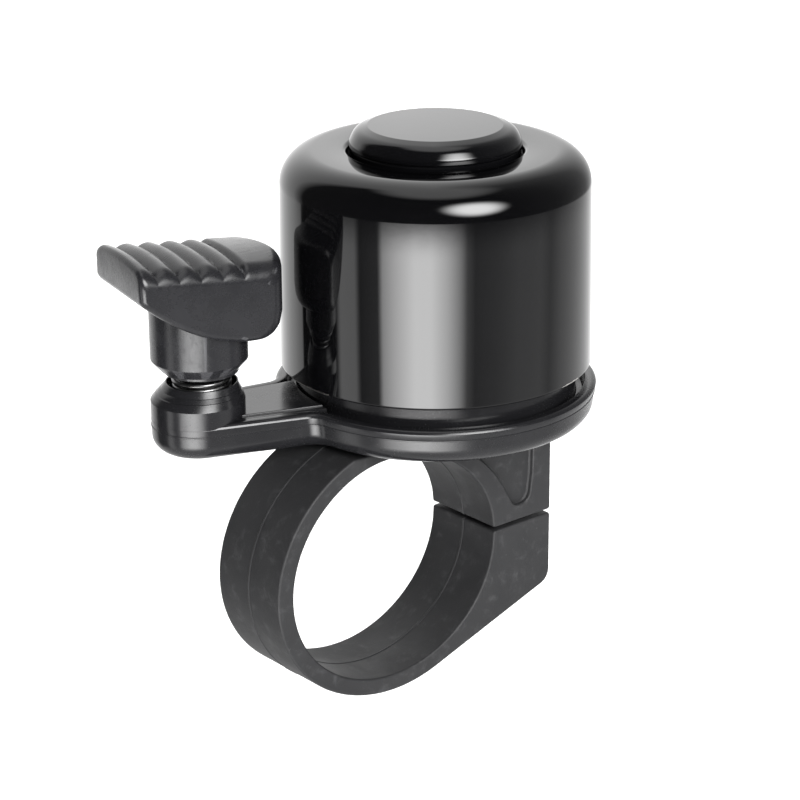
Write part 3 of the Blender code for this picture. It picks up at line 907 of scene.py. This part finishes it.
def bore_edge(start, end, steps):
    """The bore's outline, drawn in a little at the upper right where the ears pull on it."""
    points = []
    for k in range(steps + 1):
        a = start + (end - start) * k / steps
        turn = (a + 2 * math.pi) % (2 * math.pi)
        pulled = math.sin(1.5 * turn) ** 2 if turn < math.pi * 2 / 3 else 0.0
        radius = BORE_R - BORE_PULL * pulled
        points.append((radius * math.cos(a), radius * math.sin(a)))
    return squashed(points)


def band_outline():
    """The clamp seen along the bar as one loop: ears, saddle, ring and bore, open at the split."""
    outer = BORE_R + BAND_T
    seat = SEAT_Z / OVAL
    tangent = EAR_SLOPE - math.pi / 2
    touch = (outer * math.cos(tangent), outer * math.sin(tangent))
    corner_z = (touch[1] + (EAR_X - touch[0]) * math.tan(EAR_SLOPE)) * OVAL
    start = math.atan2(seat, -math.sqrt(outer**2 - seat**2))
    ring = squashed(arc(0, 0, outer, start, tangent + 2 * math.pi, 150))
    low, high = (math.asin(z / OVAL / BORE_R) for z in (SPLIT_LOW, SPLIT_HIGH))
    bore = bore_edge(low, high - 2 * math.pi, 200)
    corners = [(*bore[-5], 0), (BORE_R * math.cos(high), SPLIT_HIGH, SPLIT_ROUND)]
    corners += [(EAR_X, SPLIT_HIGH, SPLIT_ROUND), (EAR_X, SEAT_Z, 0.7), (*ring[0], 0.8)]
    corners += [(x, z, 0) for x, z in ring[3:]]
    corners += [(EAR_X, corner_z, EAR_ROUND), (EAR_X, SPLIT_LOW, SPLIT_ROUND)]
    corners += [(BORE_R * math.cos(low), SPLIT_LOW, SPLIT_ROUND)]
    corners += [(x, z, 0) for x, z in bore[4:-5]]
    return rounded(corners, closed=True)


def panel_levels():
    """The recessed panel's outline from outside the face to its floor; its left side follows the ring."""
    left = []
    for k in range(21):
        turn = math.radians(50 - 31 * k / 20)
        radius = 15.25 + 0.98 * (k / 20) ** 1.4
        left.append((radius * math.cos(turn), radius * math.sin(turn) * OVAL, 0))
    low_end = [(16.85, 2.2, 1.3), (19.1, 2.25, 1.3)]
    right = [(19.55, 5.4, 6.0), (19.7, 12.3, 0.6), (10.4, 12.3, 0.6)]
    outline = rounded(left + low_end + right, closed=True, steps=8)
    steps = [(-0.12, -0.5), (-0.12, 0.0), (0.0, 0.12), (0.05, 0.45), (0.2, 0.60)]
    return [[(x, deep - BAND_HALF, z) for x, z in inset(outline, amount)] for amount, deep in steps]


def hexagon(flats, cx, cy, turn):
    """A hexagon's corners, from its width across flats."""
    corner = flats / math.sqrt(3)
    angles = [turn + math.pi / 3 * k for k in range(6)]
    return [(cx + corner * math.cos(a), cy + corner * math.sin(a)) for a in angles]


def band_levels():
    """The strap across its width as (inset, y): rounded edges, and a raised seam round its middle."""
    side = [(BAND_EDGE + SEAM + 0.04, -BAND_HALF)]
    for a in [math.pi / 2 * k / 6 for k in range(7)]:
        side.append((BAND_EDGE * (1 - math.sin(a)) + SEAM, -BAND_HALF + BAND_EDGE * (1 - math.cos(a))))
    side.append((SEAM, side[-1][1] + 0.08))
    seam = [(SEAM, -0.24), (SEAM, -0.16), (0.0, -0.05), (0.0, 0.05), (SEAM, 0.16), (SEAM, 0.24)]
    return side + seam + [(amount, -y) for amount, y in reversed(side)]


def make_clamp(material):
    """Strap, saddle and ears as one moulding, cut for its panel, the screw, the bolt and their nuts."""
    outline = band_outline()
    rings = [[(x, y, z) for x, z in inset(outline, amount)] for amount, y in band_levels()]
    band = build("clamp_strap", lofted(rings))
    below, above, outside = -20, 17, 9
    left, right = SCREW_X - NUT_SLOT_HALF, SCREW_X + NUT_SLOT_HALF
    tip = NUT_SLOT_HALF / math.cos(math.pi / 6)
    slot = [(left, -tip / 2), (SCREW_X, -tip), (right, -tip / 2), (right, outside), (left, outside)]
    combine(
        band,
        "DIFFERENCE",
        lofted(panel_levels()),
        prism(circle(SCREW_HOLE_R, SCREW_X, 0, 48), below, SCREW_HOLE_TOP),
        prism(circle(SCREW_SEAT_R, SCREW_X, 0, 64), below, SCREW_SEAT_Z),
        prism(slot, NUT_SLOT_LOW, NUT_SLOT_HIGH),
        prism(circle(BOLT_HOLE_R, BELL_X, 0, 48), BOLT_HOLE_LOW, above),
        prism(hexagon(THIN_NUT_FLATS, BELL_X, 0, math.pi / 6), THIN_NUT_LOW, THIN_NUT_HIGH),
    )
    return finished(band, material, "clamp", ["clamp_band"], 20.0)


# ---------------------------------------------------------------- fasteners

PAN_M4 = {"head": 3.5, "height": 2.2, "shank": 1.9, "pitch": 0.7}
PAN_M3 = {"head": 2.9, "height": 1.6, "shank": 1.4, "pitch": 0.5}
NUT_M4 = {"flats": 7.0, "height": 3.0, "hole": 2.15}
NUT_M3 = {"flats": 5.5, "height": 1.2, "hole": 1.65}
WASHER_M4 = {"inner": 2.15, "outer": 3.8, "height": 0.8}
WASHER_M3 = {"inner": 1.65, "outer": 4.2, "height": 0.8}


def threaded(shank, low, high, pitch, depth):
    """A rod from low to high with a helical thread, closed at both ends."""
    steps = 40
    rows = int((high - low) / 0.07)
    rings = []
    for i in range(rows + 1):
        z = low + (high - low) * i / rows
        fade = min(1.0, (high - z) / 0.5, (z - low) / 0.4 + 0.4)
        ring = []
        for k in range(steps):
            phase = (z / pitch - k / steps) % 1.0
            tooth = abs(phase - 0.5) * 2
            radius = shank - depth * tooth - (1 - fade) * 0.3
            angle = 2 * math.pi * k / steps
            ring.append((radius * math.cos(angle), radius * math.sin(angle), z))
        rings.append(ring)
    return lofted(rings)


def cross(head, height):
    """The two tapered arms of a cross recess, going down into the head from above it."""
    arms = []
    long, thin = head * 1.09, head * 0.24
    for x, y in ((long / 2, thin / 2), (thin / 2, long / 2)):
        mouth = [(-x, -y), (x, -y), (x, y), (-x, y)]
        narrow_x, narrow_y = (0.55, 0.8) if x > y else (0.8, 0.55)
        floor = [(u * narrow_x, v * narrow_y) for u, v in mouth]
        rings = [level(mouth, -height - 1), level(mouth, -height), level(floor, -height + 1.25)]
        arms.append(lofted(rings))
    return arms


def pan_screw(name, place, length, material, body, node, head, height, shank, pitch):
    """A cross-recess pan-head screw: the head below 0, the shank up to length."""
    corners = [
        (0, -height, 0),
        (head * 0.78, -height, head * 0.23),
        (head, -height * 0.45, head * 0.17),
        (head, 0, 0.12),
        (shank - 0.2, 0, 0),
        (shank - 0.35, 1.0, 0),
        (0, 1.0, 0),
    ]
    screw = build(name, revolved(rounded(corners), 72), place)
    combine(screw, "DIFFERENCE", *cross(head, height), place=place)
    combine(screw, "UNION", threaded(shank, 0.5, length, pitch, pitch * 0.45), place=place)
    return finished(screw, material, body, [node], 28.0)


def make_nut(name, place, material, node, flats, height, hole):
    """A hexagon nut whose corners are turned off by a cone, bored and countersunk."""
    steps = 96
    half = flats / 2
    corner = flats / math.sqrt(3)
    limits = [(0, half - 0.05), (0.02, half), (0.45, corner)]
    rings = []
    for z, limit in limits + [(height - z, limit) for z, limit in reversed(limits)]:
        ring = []
        for k in range(steps):
            angle = 2 * math.pi * k / steps
            off = (angle + math.pi / 6) % (math.pi / 3) - math.pi / 6
            radius = min(half / math.cos(off), limit)
            ring.append((radius * math.cos(angle), radius * math.sin(angle), z))
        rings.append(ring)
    nut = build(name, lofted(rings), place)
    wide = hole + 1.35
    bore = [(0, -1, 0), (wide, -1, 0), (hole, 0.35, 0), (hole, height - 0.35, 0), (wide, height + 1, 0),
            (0, height + 1, 0)]
    combine(nut, "DIFFERENCE", revolved(rounded(bore), 48), place=place)
    return finished(nut, material, "clamp", [node], 28.0)


def make_washer(name, place, material, body, node, inner, outer, height):
    """A flat washer standing on its place, its outer edge rounded by the punch."""
    corners = [(inner, 0, 0.08), (outer, 0, 0.18), (outer, height, 0.1), (inner, height, 0.1)]
    obj = build(name, revolved(rounded(corners, closed=True), 80), place)
    return finished(obj, material, body, [node])


def at(x, z, flip=False):
    """A place on the clamp's middle plane, upside down if flipped."""
    turn = Matrix.Rotation(math.pi, 4, "X") if flip else Matrix.Identity(4)
    return Matrix.Translation((x, 0, z)) @ turn


def make_fasteners(steel, zinc):
    """Each part sits where its CAD node does."""
    names = ("clamp_screw", "clamp_washer", "clamp_nut", "centre_bolt", "bolt_washer", "centre_nut")
    low = {name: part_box(name)[0].z / MM for name in names}
    high = {name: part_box(name)[1].z / MM for name in names}
    seat = low["clamp_screw"] + PAN_M4["height"]
    length = high["clamp_screw"] - seat
    place = at(SCREW_X, seat)
    pan_screw("clamp_screw_m4", place, length, steel, "screw", "clamp_screw", **PAN_M4)
    place = at(SCREW_X, low["clamp_washer"])
    make_washer("clamp_screw_washer", place, zinc, "screw_travel", "clamp_washer", **WASHER_M4)
    make_nut("clamp_hex_nut", at(SCREW_X, low["clamp_nut"]), zinc, "clamp_nut", **NUT_M4)
    seat = high["centre_bolt"] - PAN_M3["height"]
    length = seat - low["centre_bolt"]
    pan_screw("centre_bolt_m3", at(BELL_X, seat, True), length, steel, "clamp", "centre_bolt", **PAN_M3)
    place = at(BELL_X, low["bolt_washer"])
    make_washer("centre_bolt_washer", place, zinc, "clamp", "bolt_washer", **WASHER_M3)
    make_nut("centre_thin_nut", at(BELL_X, low["centre_nut"]), zinc, "centre_nut", **NUT_M3)


# ---------------------------------------------------------------- studio

CAMERA_TURN = math.radians(40.098)
CAMERA_RISE = math.radians(20.375)
CAMERA_ROLL = math.radians(-0.373)
CAMERA_DISTANCE = 278.83
CAMERA_LENS = 116.588
CAMERA_SHIFT = (0.00303, -0.00259)
AIM_POINT = (BELL_X - 0.25, 0, RIM_Z - 4.18)
AIM_LEFT = 3.9
FLOOR_Z = -0.085
FLOOR_R = 20.0

# The studio seen from the bell. Belts hold (degrees round from the camera's side, strength) and bounds are
# (from, to) in degrees above the horizon.
STUDIO_SCALE = 14.0
LOW_BELT = [
    (-180, 1.7), (-128, 1.2), (-117, 0.9), (-115.5, 0.02), (-79, 0.02), (-75, 1.8), (-62, 1.8), (-58, 0.2),
    (-43, 0.4), (-39.5, 5.0), (-30, 8.5), (-16, 13.0), (-4, 13.0), (8, 8.5), (17, 4.0), (22, 1.0),
    (28, 0.4), (45, 0.55), (62, 0.8), (82, 0.8), (92, 0.5), (104, 0.8), (122, 1.0), (180, 1.7),
]
HIGH_BELT = [
    (-180, 1.65), (-125, 1.1), (-112, 0.06), (-60, 0.03), (60, 0.03), (100, 0.12), (140, 0.35), (166, 1.0),
    (180, 1.65),
]
BELT_BOUNDS = (-16, -12.5)
UNDER_STRENGTH = 0.9
UNDER_BOUNDS = (-44, -30)
OVERHEAD_STRENGTH = 1.5
OVERHEAD_BOUNDS = (61, 80)
LAMP_TURN = math.radians(30)
LAMP_RISE = math.radians(28)
LAMP_OUTSIDE = math.radians(29)
LAMP_INSIDE = math.radians(4)
LAMP_STRENGTH = 22.0


def grey(strength):
    """A strength of the surround as a colour."""
    return (strength / STUDIO_SCALE,) * 3


class Studio(Tree):
    """The world's node tree, with directions turned so that the camera looks along +Y."""

    def __init__(self):
        world = bpy.data.worlds.new("studio")
        bpy.context.scene.world = world
        world.use_nodes = True
        world.cycles.sampling_method = "MANUAL"
        world.cycles.sample_map_resolution = 1024
        self.tree = world.node_tree
        self.tree.nodes.clear()
        turned = self.new("ShaderNodeMapping", vector_type="VECTOR")
        turned.inputs["Rotation"].default_value = (0, 0, CAMERA_TURN)
        self.plug(turned.inputs["Vector"], self.new("ShaderNodeTexCoord").outputs["Generated"])
        self.direction = turned.outputs["Vector"]
        split = self.new("ShaderNodeSeparateXYZ")
        self.plug(split.inputs["Vector"], self.direction)
        self.across, self.away, self.height = (split.outputs[k] for k in "XYZ")

    def above(self, low, high):
        """0 below one height over the horizon and 1 above another, both in degrees."""
        return self.spread(self.height, math.sin(math.radians(low)), math.sin(math.radians(high)))

    def around(self):
        """The direction in plan as a share of a turn, 0.5 on the camera's side."""
        angle = self.math("ARCTAN2", self.across, self.math("MULTIPLY", self.away, -1.0))
        return self.math("ADD", self.math("DIVIDE", angle, 2 * math.pi), 0.5)

    def belt(self, share, stops):
        """A grey that changes round the bell."""
        node = self.new("ShaderNodeValToRGB")
        elements = node.color_ramp.elements
        elements.remove(elements[-1])
        for i, (angle, strength) in enumerate(stops):
            position = (angle + 180) / 360
            element = elements.new(position) if i else elements[0]
            element.position = position
            element.color = (*grey(strength), 1)
        self.plug(node.inputs["Fac"], share)
        return node.outputs["Color"]

    def lamp(self):
        """The strength of a round lamp that fades from its middle."""
        level_part = math.cos(LAMP_RISE)
        near = self.new("ShaderNodeVectorMath", operation="DOT_PRODUCT")
        self.plug(near.inputs[0], self.direction)
        near.inputs[1].default_value = (
            math.sin(LAMP_TURN) * level_part,
            -math.cos(LAMP_TURN) * level_part,
            math.sin(LAMP_RISE),
        )
        glow = self.spread(near.outputs["Value"], math.cos(LAMP_OUTSIDE), math.cos(LAMP_INSIDE))
        return self.math("MULTIPLY", self.math("MULTIPLY", glow, glow), LAMP_STRENGTH)

    def background(self, colour=None, strength=1.0):
        node = self.new("ShaderNodeBackground")
        if colour:
            self.plug(node.inputs["Color"], colour)
        self.plug(node.inputs["Strength"], strength)
        return node.outputs[0]

    def finish(self, seen_by_bell, seen_by_camera):
        """The camera sees one background and everything else is lit by the other."""
        choose = self.new("ShaderNodeMixShader")
        self.plug(choose.inputs[0], self.new("ShaderNodeLightPath").outputs["Is Camera Ray"])
        self.plug(choose.inputs[1], seen_by_bell)
        self.plug(choose.inputs[2], seen_by_camera)
        self.plug(self.new("ShaderNodeOutputWorld").inputs["Surface"], choose.outputs[0])


def make_world():
    """Studio reflections: a soft panel low in front, dark flags beside it, a lamp and a pale surround."""
    studio = Studio()
    share = studio.around()
    low, high = studio.belt(share, LOW_BELT), studio.belt(share, HIGH_BELT)
    belts = studio.mix(studio.above(*BELT_BOUNDS), low, high)
    belts = studio.mix(studio.above(*UNDER_BOUNDS), grey(UNDER_STRENGTH), belts)
    sky = studio.mix(studio.above(*OVERHEAD_BOUNDS), belts, grey(OVERHEAD_STRENGTH))
    both = studio.new("ShaderNodeAddShader")
    studio.plug(both.inputs[0], studio.background(sky, STUDIO_SCALE))
    studio.plug(both.inputs[1], studio.background(None, studio.lamp()))
    studio.finish(both.outputs[0], studio.background((1, 1, 1, 1)))


def make_floor():
    """A plain white floor well below the bell, which hangs from its clamp."""
    n = Nodes("studio_floor")
    cloud = n.noise(2.0, 3)
    n.set(Base_Color=n.mix(cloud, (0.93, 0.93, 0.93), (0.95, 0.95, 0.95)))
    n.set(Roughness=0.9)
    n.set(Emission_Color=(1, 1, 1, 1), Emission_Strength=0.35)
    ring = level(circle(FLOOR_R), 0)
    mesh = bpy.data.meshes.new("studio_floor")
    mesh.from_pydata(ring, [], [list(range(len(ring)))])
    mesh.materials.append(n.done())
    floor = bpy.data.objects.new("studio_floor", mesh)
    floor.location.z = FLOOR_Z
    bpy.context.scene.collection.objects.link(floor)
    floor.visible_glossy = False
    floor.visible_shadow = False


def make_camera():
    """The main view: the clamp turned about 40 degrees and seen from about 20 degrees above."""
    across = Vector((math.cos(CAMERA_TURN), -math.sin(CAMERA_TURN), 0))
    away = Vector((math.sin(CAMERA_TURN), math.cos(CAMERA_TURN), 0))
    forward = away * math.cos(CAMERA_RISE) + Vector((0, 0, -math.sin(CAMERA_RISE)))
    up = across.cross(forward)
    aim = Vector(AIM_POINT) - across * AIM_LEFT
    right_rolled = across * math.cos(CAMERA_ROLL) + up * math.sin(CAMERA_ROLL)
    up_rolled = up * math.cos(CAMERA_ROLL) - across * math.sin(CAMERA_ROLL)
    eye = (aim - forward * CAMERA_DISTANCE) * MM
    data = bpy.data.cameras.new("photo_camera")
    data.lens = CAMERA_LENS
    data.shift_x, data.shift_y = CAMERA_SHIFT
    data.sensor_width = 36
    data.clip_start = 0.01
    camera = bpy.data.objects.new("photo_camera", data)
    turn = Matrix((right_rolled, up_rolled, -forward)).transposed().to_4x4()
    camera.matrix_world = Matrix.Translation(eye) @ turn
    bpy.context.scene.collection.objects.link(camera)
    bpy.context.scene.camera = camera


def main():
    """The bell's pieces, then the studio round it."""
    make_dome(dome_enamel())
    make_cap(cap_plastic())
    make_bushing(bushing_nylon())
    make_base(base_plastic())
    make_striker(striker_plastic())
    # The spring's steel is given a colour far darker than bare steel: painted shade for its shadowed,
    # dark-reflecting turns.
    wire = metal("spring_steel", (0.10, 0.10, 0.10), (0.20, 0.20, 0.20), 0.22, 0.34, 2600, (1, 1, 8))
    make_spring(wire)
    make_clamp(clamp_nylon())
    steel = metal("fastener_steel", (0.36, 0.36, 0.37), (0.56, 0.56, 0.57), 0.26, 0.40, 3000)
    zinc = metal("zinc_plate", (0.58, 0.60, 0.62), (0.72, 0.73, 0.74), 0.30, 0.45, 2200)
    make_fasteners(steel, zinc)
    make_world()
    make_floor()
    make_camera()
    bpy.context.scene.view_settings.view_transform = "Standard"


main()
